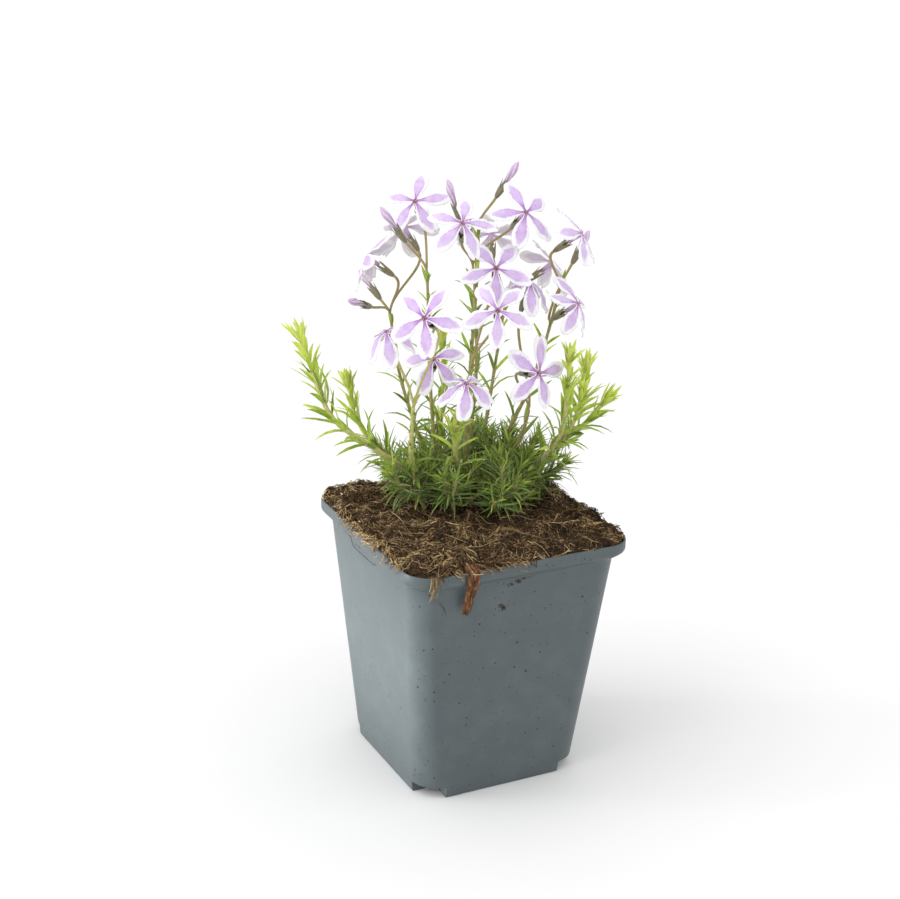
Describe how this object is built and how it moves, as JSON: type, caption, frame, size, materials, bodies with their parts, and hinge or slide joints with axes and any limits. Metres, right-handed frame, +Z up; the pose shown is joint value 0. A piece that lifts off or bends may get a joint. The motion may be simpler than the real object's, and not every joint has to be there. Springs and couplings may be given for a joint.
{
  "type": "phlox plant",
  "caption": "Moss phlox with needle leaves and pale, lilac-striped flowers, rooted in a mound of soil in a square tapered nursery pot with a flared rim.",
  "frame": {"origin": "middle of the pot's underside, on the surface it stands on", "axes": "+Z up; X and Y along the pot's sides; the plant's front corner is towards -X and -Y"},
  "size_m": [0.1237, 0.1089, 0.2256],
  "materials": {
    "pot_plastic": "thin moulded plastic, satin, lightly scratched and specked with soil",
    "soil": "loose fibrous peat and coir",
    "leaf": "fresh green leaves and stems, slightly hairy",
    "petal": "soft matt petals, white at the edges and lilac along the middle"
  },
  "bodies": {
    "root": {"bloom_01": "petal", "bloom_02": "petal", "bloom_03": "petal", "bloom_04": "petal", "bloom_05": "petal", "bloom_06": "petal", "bloom_07": "petal", "bloom_08": "petal", "bloom_09": "petal", "bloom_10": "petal", "bloom_11": "petal", "bloom_12": "petal", "bloom_13": "petal", "bloom_14": "petal", "bloom_15": "petal", "bloom_16": "petal", "bloom_17": "petal", "bloom_18": "petal", "pot": "pot_plastic", "soil": "soil", "spray_back_left": "leaf", "spray_back_right": "leaf", "spray_back_tall": "leaf", "spray_front": "leaf", "spray_front_left": "leaf", "spray_front_right": "leaf", "spray_left_tall": "leaf", "spray_middle_tall": "leaf", "spray_right": "leaf", "spray_right_tall": "leaf", "spray_trailing_back": "leaf", "spray_trailing_back_left": "leaf", "spray_trailing_right": "leaf", "tuft_01": "leaf", "tuft_02": "leaf", "tuft_03": "leaf", "tuft_04": "leaf", "tuft_05": "leaf", "tuft_06": "leaf", "tuft_07": "leaf", "tuft_08": "leaf", "tuft_09": "leaf", "tuft_10": "leaf", "tuft_11": "leaf"}
  },
  "joints": []
}
